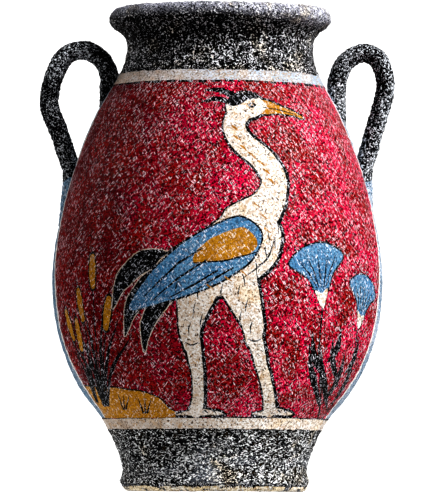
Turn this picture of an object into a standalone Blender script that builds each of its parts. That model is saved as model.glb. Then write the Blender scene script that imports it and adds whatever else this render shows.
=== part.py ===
# Two-handled jar of fired clay, turned on a wheel, with two rolled loop handles luted to its shoulder.
# The jar stands on z = 0 with its axis on Z. Its front faces -Y, and the handles lie in the XZ plane.

import math

import bmesh
import bpy
from mathutils import Vector

# Sizes in metres. The rises stack up from the ground to the top of the lip.
WAIST_RISE = 0.0095  # ground to the narrow waist of the foot
FLANK_RISE = 0.0315  # waist to the steepest part of the flank
BELLY_RISE = 0.0670  # flank to the widest part of the belly
SHOULDER_RISE = 0.0926  # belly to the steepest part of the shoulder
NECK_RISE = 0.0304  # shoulder to the narrow part of the neck
LIP_RISE = 0.0190  # neck to the top of the lip

FOOT_RADIUS = 0.0482  # the swelling just above the ground
FOOT_EDGE = 0.0028  # rounding where the foot meets the ground
WAIST_RADIUS = 0.0473
FLANK_RADIUS = 0.0610
BELLY_RADIUS = 0.0853
SHOULDER_RADIUS = 0.0603
NECK_RADIUS = 0.0479
LIP_RADIUS = 0.0572
BEAD_RADIUS = 0.0050  # half the thickness of the rolled lip
WALL = 0.0055
FLOOR = 0.0090  # clay under the hollow
FLOOR_ROUND = 0.0120  # inside corner between floor and wall
MOUTH_ROUND = 0.0035  # how far the mouth's inner edge lies inside the top of the lip

FLANK_SLOPE = 0.96  # outward run for each unit of rise, where the flank is steepest
SHOULDER_SLOPE = -0.57

HANDLE_THICKNESS = 0.0098  # in the plane of the loop
HANDLE_BREADTH = 0.0112  # across the loop
UPPER_ROOT_DROP = 0.0270  # from the neck's narrow part down to where the handle meets the shoulder
ROOT_FLARE = 0.32  # how much broader the clay is where it is smeared onto the wall
FLARE_RISE = 0.0060  # length over which that broadening fades

# The two loops were rolled and bent by hand, so they differ a little.
# Each leg rises from the shoulder into a round arch, and the outer leg slants down to the belly.
LOOPS = {
    "left": {
        "side": -1,
        "leg_out": -0.0008,  # middle of the inner leg outside the wall, at the upper root
        "leg_rise": 0.0106,  # upper root to the middle of the arch
        "arch": 0.0137,  # radius of the arch's middle line
        "reach": 0.0311,  # inner leg to the outermost part of the loop
        "turn_drop": 0.0126,  # middle of the arch down to that outermost part
        "foot_drop": 0.0415,  # upper root down to where the outer leg meets the wall
        "foot_out": 0.0007,  # middle of the outer leg outside the wall, at that place
        "tail": 0.0261,  # length of the smeared end below that
        "tail_sink": 0.0022,  # depth of its middle line in the wall at the very end
        "tail_thickness": 0.0063,
        "lean": -0.016,  # how far the leg leans out under the arch, as a share of the arch
        "haunch": (0.311, 0.678),  # the arch's inner bend, out from the leg and up, as shares of the arch
        "shoulder": (0.629, 0.616),  # the outer bend, as shares of the way out from the crown and of the arch
        "slant": (0.490, 0.527),  # the outer leg's middle, as shares of the outermost part over the lower root
    },
    "right": {
        "side": 1,
        "leg_out": 0.0024,
        "leg_rise": 0.0101,
        "arch": 0.0137,
        "reach": 0.0252,
        "turn_drop": 0.0053,
        "foot_drop": 0.0382,
        "foot_out": 0.0003,
        "tail": 0.0189,
        "tail_sink": 0.0021,
        "tail_thickness": 0.0042,
        "lean": 0.035,
        "haunch": (0.360, 0.680),
        "shoulder": (0.738, 0.680),
        "slant": (0.445, 0.460),
    },
}

TURN_STEPS = 48  # flats round the jar
BEND_STEPS = 8  # straight pieces in each bend of the outline
BEAD_STEPS = 8
HANDLE_RINGS = 26
HANDLE_SIDES = 12

# Heights worked out from the rises
WAIST_Z = WAIST_RISE
FLANK_Z = WAIST_Z + FLANK_RISE
BELLY_Z = FLANK_Z + BELLY_RISE
SHOULDER_Z = BELLY_Z + SHOULDER_RISE
NECK_Z = SHOULDER_Z + NECK_RISE
TOP_Z = NECK_Z + LIP_RISE

CLAY_COLOUR = (0.36, 0.035, 0.045, 1.0)


def clear_scene():
    for item in list(bpy.data.objects):
        bpy.data.objects.remove(item)


def bend(start, start_pull, end_pull, end, steps):
    """Points of a cubic curve, without its last one. Each pull is the vector from an end to its control point."""
    start, end = Vector(start), Vector(end)
    first, second = start + Vector(start_pull), end + Vector(end_pull)
    points = []
    for step in range(steps):
        t = step / steps
        s = 1 - t
        points.append(s**3 * start + 3 * s * s * t * first + 3 * s * t * t * second + t**3 * end)
    return points


def outer_outline():
    """The outside of the jar as (radius, height), from the ground to the top of the lip."""
    flank_pull = Vector((FLANK_SLOPE, 1)).normalized()
    shoulder_pull = Vector((SHOULDER_SLOPE, 1)).normalized()
    waist, flank = (WAIST_RADIUS, WAIST_Z), (FLANK_RADIUS, FLANK_Z)
    belly, shoulder = (BELLY_RADIUS, BELLY_Z), (SHOULDER_RADIUS, SHOULDER_Z)
    neck = (NECK_RADIUS, NECK_Z)

    swell_z = (FOOT_EDGE + WAIST_Z) / 2
    points = [Vector((FOOT_RADIUS - FOOT_EDGE, 0)), Vector((FOOT_RADIUS - FOOT_EDGE * 0.3, FOOT_EDGE * 0.35))]
    points.append(Vector((FOOT_RADIUS, swell_z)))
    points += bend(waist, (0, FLANK_RISE * 0.33), -FLANK_RISE * 0.15 * flank_pull, flank, BEND_STEPS)
    points += bend(flank, BELLY_RISE * 0.32 * flank_pull, (0, -BELLY_RISE * 0.40), belly, BEND_STEPS)
    points += bend(belly, (0, SHOULDER_RISE * 0.33), -SHOULDER_RISE * 0.23 * shoulder_pull, shoulder, BEND_STEPS)
    points += bend(shoulder, NECK_RISE * 0.55 * shoulder_pull, (0, -NECK_RISE * 0.40), neck, BEND_STEPS)

    # The neck sweeps out under the lip, which is rolled into a round bead.
    bead = Vector((LIP_RADIUS - BEAD_RADIUS, TOP_Z - BEAD_RADIUS))
    low = math.radians(-55)
    under = bead + BEAD_RADIUS * Vector((math.cos(low), math.sin(low)))
    run_out = Vector((-math.sin(low), math.cos(low)))
    points += bend(neck, (0, LIP_RISE * 0.30), -BEAD_RADIUS * 0.55 * run_out, under, BEAD_STEPS // 2)
    for step in range(BEAD_STEPS + 1):
        angle = low + (math.pi / 2 - low) * step / BEAD_STEPS
        points.append(bead + BEAD_RADIUS * Vector((math.cos(angle), math.sin(angle))))
    return points


def radius_at(height):
    """Outside radius of the jar between the waist and the neck."""
    outline = [point for point in outer_outline() if WAIST_Z <= point.y <= NECK_Z]
    for below, above in zip(outline, outline[1:]):
        if below.y <= height <= above.y:
            return below.x + (above.x - below.x) * (height - below.y) / (above.y - below.y)
    return outline[0].x if height < outline[0].y else outline[-1].x


def slope_at(height):
    step = 0.002
    return (radius_at(height + step) - radius_at(height - step)) / (2 * step)


def inner_outline():
    """The hollow as (radius, height), from the middle of its floor up past the mouth."""
    outline = [point for point in outer_outline() if WAIST_Z <= point.y <= NECK_Z + 1e-6]
    wall = []
    for before, here, after in zip(outline, outline[1:], outline[2:]):
        along = (after - before).normalized()
        wall.append(here - WALL * Vector((along.y, -along.x)))
    corner_z = FLOOR + FLOOR_ROUND
    wall = [point for point in wall if corner_z + 0.002 < point.y < NECK_Z - 0.001]
    corner_x = wall[0].x - (wall[0].y - corner_z) * slope_at(corner_z)

    points = [Vector((0, FLOOR))]
    for step in range(5):
        angle = math.pi / 2 * step / 4
        offset = FLOOR_ROUND * Vector((math.sin(angle) - 1, 1 - math.cos(angle)))
        points.append(Vector((corner_x, FLOOR)) + offset)
    points += wall

    # Over the neck the inside opens to a rounded mouth, and the cut runs on above the lip.
    throat = (NECK_RADIUS - WALL, NECK_Z)
    mouth = Vector((LIP_RADIUS - BEAD_RADIUS - MOUTH_ROUND * 0.4, TOP_Z + 0.0004))
    points += bend(throat, (0, LIP_RISE * 0.65), (-MOUTH_ROUND, -MOUTH_ROUND * 0.7), mouth, BEND_STEPS // 2 + 1)
    points.append(mouth)
    points.append(Vector((mouth.x, TOP_Z + WALL)))
    return points


def turned_solid(name, outline):
    """A closed solid turned round Z from an outline that runs upwards, capped flat at both ends."""
    mesh = bpy.data.meshes.new(name)
    form = bmesh.new()
    rings = []
    for radius, height in outline:
        if radius < 1e-6:
            rings.append([form.verts.new((0, 0, height))])
            continue
        ring = []
        for step in range(TURN_STEPS):
            angle = 2 * math.pi * (step + 0.5) / TURN_STEPS
            ring.append(form.verts.new((radius * math.cos(angle), radius * math.sin(angle), height)))
        rings.append(ring)
    for low, high in zip(rings, rings[1:]):
        for step in range(TURN_STEPS):
            turn = (step + 1) % TURN_STEPS
            if len(low) == 1:
                form.faces.new((low[0], high[turn], high[step]))
            else:
                form.faces.new((low[step], low[turn], high[turn], high[step]))
    if len(rings[0]) > 1:
        form.faces.new(reversed(rings[0]))
    form.faces.new(rings[-1])
    form.to_mesh(mesh)
    form.free()
    mesh.shade_smooth()
    mesh.set_sharp_from_angle(angle=math.radians(40))
    item = bpy.data.objects.new(name, mesh)
    bpy.context.scene.collection.objects.link(item)
    return item


def smooth_path(knots, count):
    """Evenly spaced points on a Catmull-Rom curve through the knots, each of which holds any number of values."""
    dense = []
    padded = [2 * knots[0] - knots[1], *knots, 2 * knots[-1] - knots[-2]]
    for before, start, end, after in zip(padded, padded[1:], padded[2:], padded[3:]):
        for step in range(24):
            t = step / 24
            bow = 2 * start + (end - before) * t + (2 * before - 5 * start + 4 * end - after) * t * t
            dense.append((bow + (3 * start - before - 3 * end + after) * t**3) / 2)
    dense.append(knots[-1])
    travelled = [0.0]
    for a, b in zip(dense, dense[1:]):
        travelled.append(travelled[-1] + (b - a).length)
    points, place = [], 0
    for step in range(count):
        goal = travelled[-1] * step / (count - 1)
        while place < len(dense) - 2 and travelled[place + 1] < goal:
            place += 1
        share = (goal - travelled[place]) / max(travelled[place + 1] - travelled[place], 1e-12)
        points.append(dense[place].lerp(dense[place + 1], min(share, 1.0)))
    return points


def handle_line(loop):
    """Middle line of one loop as (distance from the jar's axis, height), from the shoulder over the arch to the belly."""
    arch, root_z = loop["arch"], NECK_Z - UPPER_ROOT_DROP
    leg = radius_at(root_z) + loop["leg_out"]
    arch_z = root_z + loop["leg_rise"]
    crown = leg + arch
    outer = leg + loop["reach"]
    turn_z = arch_z - loop["turn_drop"]
    foot_z = root_z - loop["foot_drop"]
    foot = radius_at(foot_z) + loop["foot_out"]
    tail_z = foot_z - loop["tail"]
    start_z = root_z - HANDLE_THICKNESS * 1.5
    haunch, shoulder, slant = loop["haunch"], loop["shoulder"], loop["slant"]
    knots = [
        (leg, start_z),
        (leg, root_z + loop["leg_rise"] * 0.30),
        (leg + arch * loop["lean"], arch_z),
        (leg + arch * haunch[0], arch_z + arch * haunch[1]),
        (crown, arch_z + arch),
        (crown + (outer - crown) * shoulder[0], arch_z + arch * shoulder[1]),
        (outer, turn_z),
        (foot + (outer - foot) * slant[0], foot_z + (turn_z - foot_z) * slant[1]),
        (foot + HANDLE_THICKNESS * 0.18, foot_z + HANDLE_THICKNESS * 0.85),
        (foot, foot_z),
        (radius_at(tail_z) - loop["tail_sink"], tail_z),
    ]
    return smooth_path([Vector(knot) for knot in knots], HANDLE_RINGS)


def handle_solid(name, loop):
    """One rolled loop, thicker where it is smeared onto the shoulder and pressed thin at its lower end."""
    line = handle_line(loop)
    root_z = NECK_Z - UPPER_ROOT_DROP
    foot_z = root_z - loop["foot_drop"]
    mesh = bpy.data.meshes.new(name)
    form = bmesh.new()
    rings = []
    for index, point in enumerate(line):
        ahead = line[min(index + 1, len(line) - 1)] - line[max(index - 1, 0)]
        across = Vector((ahead.y, -ahead.x)).normalized()
        upper = index < len(line) / 2
        gap = point.y - (root_z if upper else foot_z)
        swell = 1 + ROOT_FLARE * math.exp(-max(gap, 0) / FLARE_RISE)
        thin = 1.0
        if not upper and gap < 0:
            thin = 1 + (loop["tail_thickness"] / HANDLE_THICKNESS - 1) * min(-gap / loop["tail"], 1)
        half = Vector((HANDLE_THICKNESS / 2 * thin, HANDLE_BREADTH / 2 * swell))
        ring = []
        for side in range(HANDLE_SIDES):
            angle = 2 * math.pi * side / HANDLE_SIDES
            out = point + across * half.x * math.cos(angle)
            ring.append(form.verts.new((loop["side"] * out.x, half.y * math.sin(angle), out.y)))
        rings.append(ring)
    for low, high in zip(rings, rings[1:]):
        for side in range(HANDLE_SIDES):
            turn = (side + 1) % HANDLE_SIDES
            form.faces.new((low[side], low[turn], high[turn], high[side]))
    form.faces.new(rings[0])
    form.faces.new(rings[-1])
    bmesh.ops.recalc_face_normals(form, faces=form.faces)
    form.to_mesh(mesh)
    form.free()
    item = bpy.data.objects.new(name, mesh)
    bpy.context.scene.collection.objects.link(item)
    return item


def make_helper(item):
    item.hide_render = True
    item.display_type = "WIRE"


def apply_boolean(item, other, operation):
    cut = item.modifiers.new(other.name, "BOOLEAN")
    cut.operation = operation
    cut.object = other
    cut.solver = "EXACT"
    make_helper(other)


def fired_clay():
    material = bpy.data.materials.new("painted_clay")
    material.use_nodes = True
    shader = material.node_tree.nodes["Principled BSDF"]
    shader.inputs["Base Color"].default_value = CLAY_COLOUR
    shader.inputs["Roughness"].default_value = 0.55
    shader.inputs["Metallic"].default_value = 0.0
    return material


def build_jar():
    outline = outer_outline()
    jar = turned_solid("amphora", outline)
    for name, loop in LOOPS.items():
        apply_boolean(jar, handle_solid(f"{name}_handle_form", loop), "UNION")
    apply_boolean(jar, turned_solid("hollow_form", inner_outline()), "DIFFERENCE")
    jar.data.materials.append(fired_clay())
    return jar


clear_scene()
build_jar()
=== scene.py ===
import math

import bmesh
import bpy
import numpy as np
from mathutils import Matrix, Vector, geometry, kdtree, noise


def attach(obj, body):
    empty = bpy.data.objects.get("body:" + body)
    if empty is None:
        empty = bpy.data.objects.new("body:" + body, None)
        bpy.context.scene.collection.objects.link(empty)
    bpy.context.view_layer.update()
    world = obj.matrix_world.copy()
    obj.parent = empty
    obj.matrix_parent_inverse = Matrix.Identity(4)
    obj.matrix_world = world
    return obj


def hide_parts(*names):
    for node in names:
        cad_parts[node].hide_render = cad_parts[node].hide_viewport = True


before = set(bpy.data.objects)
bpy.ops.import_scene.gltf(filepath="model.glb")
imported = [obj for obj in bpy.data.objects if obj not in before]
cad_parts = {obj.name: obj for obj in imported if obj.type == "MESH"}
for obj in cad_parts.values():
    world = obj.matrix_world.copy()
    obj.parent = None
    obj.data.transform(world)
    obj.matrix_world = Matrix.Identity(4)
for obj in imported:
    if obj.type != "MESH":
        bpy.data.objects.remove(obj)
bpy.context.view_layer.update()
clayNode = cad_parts["amphora"]
mm = 0.001
weld = 1e-6  # points nearer than this are one point, in metres
print("frame loaded")


def within(value, low=0.0, high=1.0):
    return max(low, min(high, value))


def hump(value, middle, width):
    return math.exp(-((value - middle) / width) ** 2)


def tableAt(value, table):
    return float(np.interp(value, [key for key, kept in table], [kept for key, kept in table]))


def noiseAt(*place):
    return noise.noise(Vector(place))


def addObject(name, data):
    thing = bpy.data.objects.new(name, data)
    bpy.context.scene.collection.objects.link(thing)
    return thing


def turned(degrees):
    turn = math.radians(degrees)
    return Vector((math.sin(turn), math.cos(turn)))


# Camera: the photograph's view, from far off and low down
view = {
    "distance": 2.8, "height": 0.006, "axisPixel": 217.0, "groundPixel": 491.5, "pixel": 0.518 * mm,
    "roll": 0.4, "wide": 435, "high": 495,
}


def makeCamera():
    cameraData = bpy.data.cameras.new("photoCamera")
    camera = addObject("photoCamera", cameraData)
    focal = view["distance"] / view["pixel"]  # in pixels
    cameraData.sensor_width = 36
    cameraData.lens = focal / view["high"] * cameraData.sensor_width
    horizonRow = view["groundPixel"] - view["height"] / view["pixel"]
    tilt = math.atan((horizonRow - view["high"] / 2) / focal)
    turn = math.atan((view["axisPixel"] - view["wide"] / 2) / focal)
    camera.location = (0, -view["distance"], view["height"])
    camera.rotation_euler = (math.pi / 2 + tilt, math.radians(-view["roll"]), turn)
    bpy.context.scene.camera = camera


makeCamera()
print("camera placed")


# The jar's outline, read from the solid and made smooth
def readOutline(node):
    form = bmesh.new()
    form.from_mesh(node.data)
    bmesh.ops.remove_doubles(form, verts=form.verts, dist=weld)

    def azimuth(vert):
        return math.atan2(vert.co.x, -vert.co.y)

    lowest = min(vert.co.z for vert in form.verts)
    start = min((v for v in form.verts if v.co.z < lowest + weld and v.co.xy.length > 0.01),
                key=lambda v: abs(azimuth(v)))
    side = azimuth(start)
    row = [v for v in form.verts if v.co.xy.length > 0.001 and abs(azimuth(v) - side) < 1e-3]
    chain = [start]
    while len(chain) < len(row):
        ahead = [edge.other_vert(chain[-1]) for edge in chain[-1].link_edges]
        ahead = [v for v in ahead if v in row and v not in chain] or [v for v in row if v not in chain]
        chain.append(min(ahead, key=lambda v: (v.co - chain[-1].co).length))
    places = np.array([(v.co.xy.length, v.co.z) for v in chain])
    form.free()
    return places


def smoothOutline(places, step):
    gaps = np.hypot(*np.diff(places, axis=0).T)
    travelled = np.concatenate([[0], np.cumsum(gaps)])
    slopes = np.gradient(places, travelled, axis=0)
    dense = []
    for index, gap in enumerate(gaps):
        steps = max(2, math.ceil(gap / step))
        for t in np.arange(steps) / steps:
            low, high = places[index], places[index + 1]
            leave, arrive = slopes[index] * gap, slopes[index + 1] * gap
            dense.append((2 * t**3 - 3 * t**2 + 1) * low + (t**3 - 2 * t**2 + t) * leave
                         + (3 * t**2 - 2 * t**3) * high + (t**3 - t**2) * arrive)
    dense.append(places[-1])
    dense = np.array(dense)
    run = np.concatenate([[0], np.cumsum(np.hypot(*np.diff(dense, axis=0).T))])
    return run, dense[:, 0], dense[:, 1]


runs, radii, heights = smoothOutline(readOutline(clayNode), 0.3 * mm)
topIndex = int(np.argmax(heights))
topRun, topZ = runs[topIndex], heights[topIndex]
meanRadius = float(radii[:topIndex].max())


def runAt(height):
    return float(np.interp(height, heights[:topIndex], runs[:topIndex]))


def radiusAt(height):
    return float(np.interp(height, heights[:topIndex], radii[:topIndex]))


def insideRunAt(height):
    return float(np.interp(-height, -heights[topIndex:], runs[topIndex:]))


print("outline read:", len(runs), "points, wall run", round(float(topRun), 4))


# Relief of the clay: out of round, wheel marks, lumps and grain
relief = {
    "oval": 0.35 * mm, "wheel": 0.10 * mm, "wheelShare": 0.6, "wheelPitch": 5.5 * mm, "wheelWander": 0.03,
    "lump": 0.22 * mm, "lumpSize": 13 * mm, "grain": 0.50 * mm, "grainSize": 2.6 * mm, "fine": 0.42 * mm,
    "fineSize": 1.5 * mm, "onBelly": 0.35, "bellyLow": 34 * mm, "bellyHigh": 214 * mm, "ledge": 0.30 * mm,
    "ledgeAt": (5.6 * mm, 1.1 * mm), "groove": 0.45 * mm, "grooveAt": (3.2 * mm, 0.8 * mm),
    "bevel": 1.5 * mm, "bevelHigh": 4.2 * mm, "lipTilt": 0.010, "tiltFrom": 28 * mm, "tiltOver": 20 * mm,
    "slopeStep": 0.4 * mm,
}
axisTable = ((0, -1.3), (32, -1.3), (60, -0.5), (205, -0.5), (228, 0), (250, 0))  # height and place, in mm


# The jar isn't quite straight: its foot stands a little to the left of its lip
def axisAt(height):
    return tableAt(height / mm, axisTable) * mm


def bevelAt(place):
    share = max(0.0, 1 - place.z / relief["bevelHigh"])
    return relief["bevel"] * share ** 1.3 * (1.1 - 0.4 * place.x / (place.xy.length or 1.0))


def clayRelief(place, run):
    lumps = relief["lump"] * noise.noise(place / relief["lumpSize"])
    crumbly = relief["onBelly"] if relief["bellyLow"] <= place.z <= relief["bellyHigh"] else 1.0
    grain = crumbly * relief["grain"] * noise.noise(place / relief["grainSize"] + Vector((3, 8, 1)))
    fine = crumbly * relief["fine"] * noise.noise(place / relief["fineSize"] + Vector((9, 2, 5)))
    wander = 2 * noise.noise(place / relief["wheelWander"])
    marks = relief["wheel"] * math.sin(2 * math.pi * run / relief["wheelPitch"] + wander)
    oval = relief["oval"] * math.sin(2 * math.atan2(place.y, place.x) + 0.7)
    ledge = relief["ledge"] * hump(place.z, *relief["ledgeAt"])
    groove = relief["groove"] * hump(place.z, *relief["grooveAt"])
    return lumps + grain + fine + marks * relief["wheelShare"] + oval + ledge - groove


def onWall(angle, run):
    near = [run - relief["slopeStep"], run, run + relief["slopeStep"]]
    innerRadius, radius, outerRadius = np.interp(near, runs, radii).tolist()
    lowHeight, height, highHeight = np.interp(near, runs, heights).tolist()
    rise, out = highHeight - lowHeight, outerRadius - innerRadius
    length = math.hypot(rise, out) or 1.0
    place = Vector((radius * math.sin(angle), -radius * math.cos(angle), height))
    push = clayRelief(place, run)
    outwards = radius + push * rise / length - bevelAt(place)
    tilt = relief["lipTilt"] * within((height - topZ + relief["tiltFrom"]) / relief["tiltOver"])
    lifted = height - push * out / length + tilt * outwards * math.sin(angle)
    across, back = outwards * math.sin(angle) + axisAt(height), -outwards * math.cos(angle)
    return Vector((across, back, max(0.0, lifted)))


# Drawing tools for the painter's picture. A picture place is (millimetres along the wall from the
# panel's middle, millimetres above the ground), and every shape is a closed outline of such places.
brushWork = {
    "spacing": 0.75, "slowWobble": 0.45, "slowSize": 8.0, "quickWobble": 0.26, "quickSize": 1.7, "seed": 3,
}
noise.seed_set(brushWork["seed"])  # noise_vector takes its seed from the clock otherwise


def catmullRom(knots, closed):
    knots = [Vector(knot) for knot in knots]
    if closed:
        padded = [knots[-1], *knots, knots[0], knots[1]]
    else:
        padded = [2 * knots[0] - knots[1], *knots, 2 * knots[-1] - knots[-2]]
    line = []
    for before, start, end, after in zip(padded, padded[1:], padded[2:], padded[3:]):
        steps = max(2, math.ceil((end - start).length / brushWork["spacing"]))
        for t in (step / steps for step in range(steps)):
            line.append((2 * start + (end - before) * t + (2 * before - 5 * start + 4 * end - after) * t * t
                         + (3 * start - before - 3 * end + after) * t**3) / 2)
    if not closed:
        line.append(knots[-1])
    return line


def leftOf(way):
    return Vector((-way.y, way.x))


def signedArea(outline):
    return sum(a.x * b.y - b.x * a.y for a, b in zip(outline, outline[1:] + outline[:1])) / 2


def blob(knots, grow=0.0):
    outline = catmullRom(knots, True)
    if signedArea(outline) < 0:
        outline.reverse()
    if grow:
        wide = []
        for before, here, after in zip(outline[-1:] + outline, outline, outline[1:] + outline[:1]):
            along = (after - before).normalized()
            wide.append(here + grow * Vector((along.y, -along.x)))
        outline = wide
    return outline


def stroke(knots, widths, grow=0.0):
    line = catmullRom(knots, False)
    shares = np.linspace(0, 1, len(line))
    halves = (np.interp(shares, np.linspace(0, 1, len(widths)), widths) / 2 + grow).tolist()
    left, right = [], []
    for index, here in enumerate(line):
        along = (line[min(index + 1, len(line) - 1)] - line[max(index - 1, 0)]).normalized()
        across = leftOf(along)
        left.append(here + halves[index] * across)
        right.append(here - halves[index] * across)
    startCap, endCap = [], []
    for cap, end, half, way in ((startCap, line[0], halves[0], line[0] - line[1]),
                                (endCap, line[-1], halves[-1], line[-1] - line[-2])):
        way = way.normalized()
        across = leftOf(way)
        for turn in (-60, -30, 0, 30, 60):
            angle = math.radians(turn)
            cap.append(end + half * (math.cos(angle) * way - math.sin(angle) * across))
    outline = right + endCap[::-1] + left[::-1] + startCap[::-1]
    if signedArea(outline) < 0:
        outline.reverse()
    return outline


def leaf(base, tip, width, bow):
    base, tip = Vector(base), Vector(tip)
    along = tip - base
    across = leftOf(along).normalized()
    middle = base + along * 0.45 + across * bow
    lower, upper = (base + middle) / 2 + across * bow * 0.2, (middle + tip) / 2 + across * bow * 0.3
    return stroke([base, lower, middle, upper, tip], [0.3, width * 0.7, width, width * 0.55, 0.2])


def wobbled(place):
    slow = noise.noise_vector(Vector((place.x, place.y, 4)) / brushWork["slowSize"])
    quick = noise.noise_vector(Vector((place.x, place.y, 9)) / brushWork["quickSize"])
    return place + (brushWork["slowWobble"] * slow + brushWork["quickWobble"] * quick).xy


# The picture. Shapes that come later lie over the earlier ones.
picture = []


def put(panel, paint, outline):
    picture.append((panel, paint, [wobbled(place) for place in outline]))


def fill(panel, paint, knots, grow=0.0):
    put(panel, paint, blob(knots, grow))


def draw(panel, paint, knots, widths, grow=0.0):
    put(panel, paint, stroke(knots, widths, grow))


# A low, even bank with bulrushes standing on it
bank = {
    "outline": [
        (-128, 33), (-128, 52), (-112, 54.5), (-92, 54), (-72, 53), (-52, 52), (-34, 49), (-25, 43),
        (-21, 33),
    ],
    "edge": 0.8,
    "clumps": [
        {
            "root": (-68, 44), "blades": (-30, -19, -9, 4, 15, 27), "high": 50,
            "stems": ((-15, 60), (-3, 75), (9, 54)),
        },
        {"root": (-77, 46), "blades": (-21, -11, 0), "high": 34, "stems": ((-24, 50), (-13, 42))},
    ],
    "tufts": [(-52, 45), (-38, 43)],
}


def paintBulrush(panel, clump):
    root = Vector(clump["root"])
    for turn in clump["blades"]:
        way = turned(turn)
        high = clump["high"] * (1 - 0.006 * abs(turn))
        bend = root + way * high + Vector((turn * 0.16, -abs(turn) * 0.10))
        start = root + Vector((turn * 0.10, 0))
        draw(panel, "brushBlack", [start, root + way * high * 0.5, bend], [1.6, 2.6, 0.4])
    for turn, high in clump["stems"]:
        way = turned(turn)
        tip = root + way * high
        draw(panel, "brushBlack", [root, root + way * high * 0.5, tip + way * 6], [1.2, 1.0, 0.6])
        draw(panel, "brushBlack", [tip - way * 15, tip - way * 7, tip], [5.4, 6.6, 5.2])
        draw(panel, "ochrePaint", [tip - way * 14.6, tip - way * 7, tip - way * 0.4], [3.6, 4.9, 3.4])


def paintBank(panel):
    fill(panel, "brushBlack", bank["outline"], bank["edge"])
    fill(panel, "ochrePaint", bank["outline"])
    for clump in bank["clumps"]:
        paintBulrush(panel, clump)
    for x, z in bank["tufts"]:
        for reach in (-4, 0, 4):
            draw(panel, "brushBlack", [(x + reach * 0.3, z - 3), (x + reach, z + 4)], [1.2, 0.4])


# Papyrus: its leaves are given as how far up the stem they grow, and how long they are
papyrus = {
    "front": [
        {"root": (66, 37), "neck": (58, 96), "lean": -5, "head": 19, "turn": -8},
        {"root": (72, 37), "neck": (88, 86), "lean": 4, "head": 16, "turn": 14},
    ],
    "back": [
        {"root": (-4, 37), "neck": (-8, 118), "lean": -3, "head": 24, "turn": -5},
        {"root": (2, 37), "neck": (30, 92), "lean": 7, "head": 18, "turn": 16},
        {"root": (-8, 37), "neck": (-44, 86), "lean": -8, "head": 17, "turn": -18},
    ],
    "fan": [
        (0, -0.10), (-0.20, 0.30), (-0.44, 0.72), (-0.92, 1.12), (-0.62, 1.42), (-0.24, 1.56), (0.16, 1.58),
        (0.58, 1.46), (0.94, 1.16), (0.46, 0.74), (0.21, 0.30),
    ],
    "cup": [(0, -0.14), (-0.16, 0.12), (-0.21, 0.36), (0, 0.26), (0.21, 0.36), (0.16, 0.12)],
    "veins": (-0.62, -0.32, 0.0, 0.33, 0.64), "dots": (-0.7, -0.35, 0.0, 0.36, 0.72),
    "leaves": ((0.08, 34), (0.16, 26), (0.34, 25), (0.48, 20)),
}


def paintPapyrus(panel, plant):
    root, neck, size = Vector(plant["root"]), Vector(plant["neck"]), plant["head"]
    up = turned(plant["turn"])
    side = Vector((up.y, -up.x))

    def at(across, along):
        return neck + side * across * size + up * along * size

    middle = (root + neck) / 2 + Vector((plant["lean"], 0))
    draw(panel, "brushBlack", [root, middle, neck], [1.6, 1.3, 1.1])
    fan = [at(*place) for place in papyrus["fan"]]
    fill(panel, "brushBlack", fan, 0.9)
    fill(panel, "bluePaint", fan)
    for across in papyrus["veins"]:
        vein = [at(across * 0.25, 0.42), at(across * 0.62, 0.85), at(across, 1.22)]
        draw(panel, "brushBlack", vein, [0.5, 0.9, 0.4])
    fill(panel, "creamSlip", [at(*place) for place in papyrus["cup"]])
    for across in papyrus["dots"]:
        spot = at(across, 1.72 - 0.32 * abs(across))
        wide, high = Vector((0.8, 0)), Vector((0, 1.1))
        fill(panel, "brushBlack", [spot + wide, spot + high, spot - wide, spot - high])
    for number, (share, length) in enumerate(papyrus["leaves"]):
        place = root.lerp(neck, share)
        way = 1 if number % 2 else -1
        put(panel, "brushBlack", leaf(place, place + Vector((way * length * 0.46, length)), 4.8, -way * 3.6))


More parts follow.
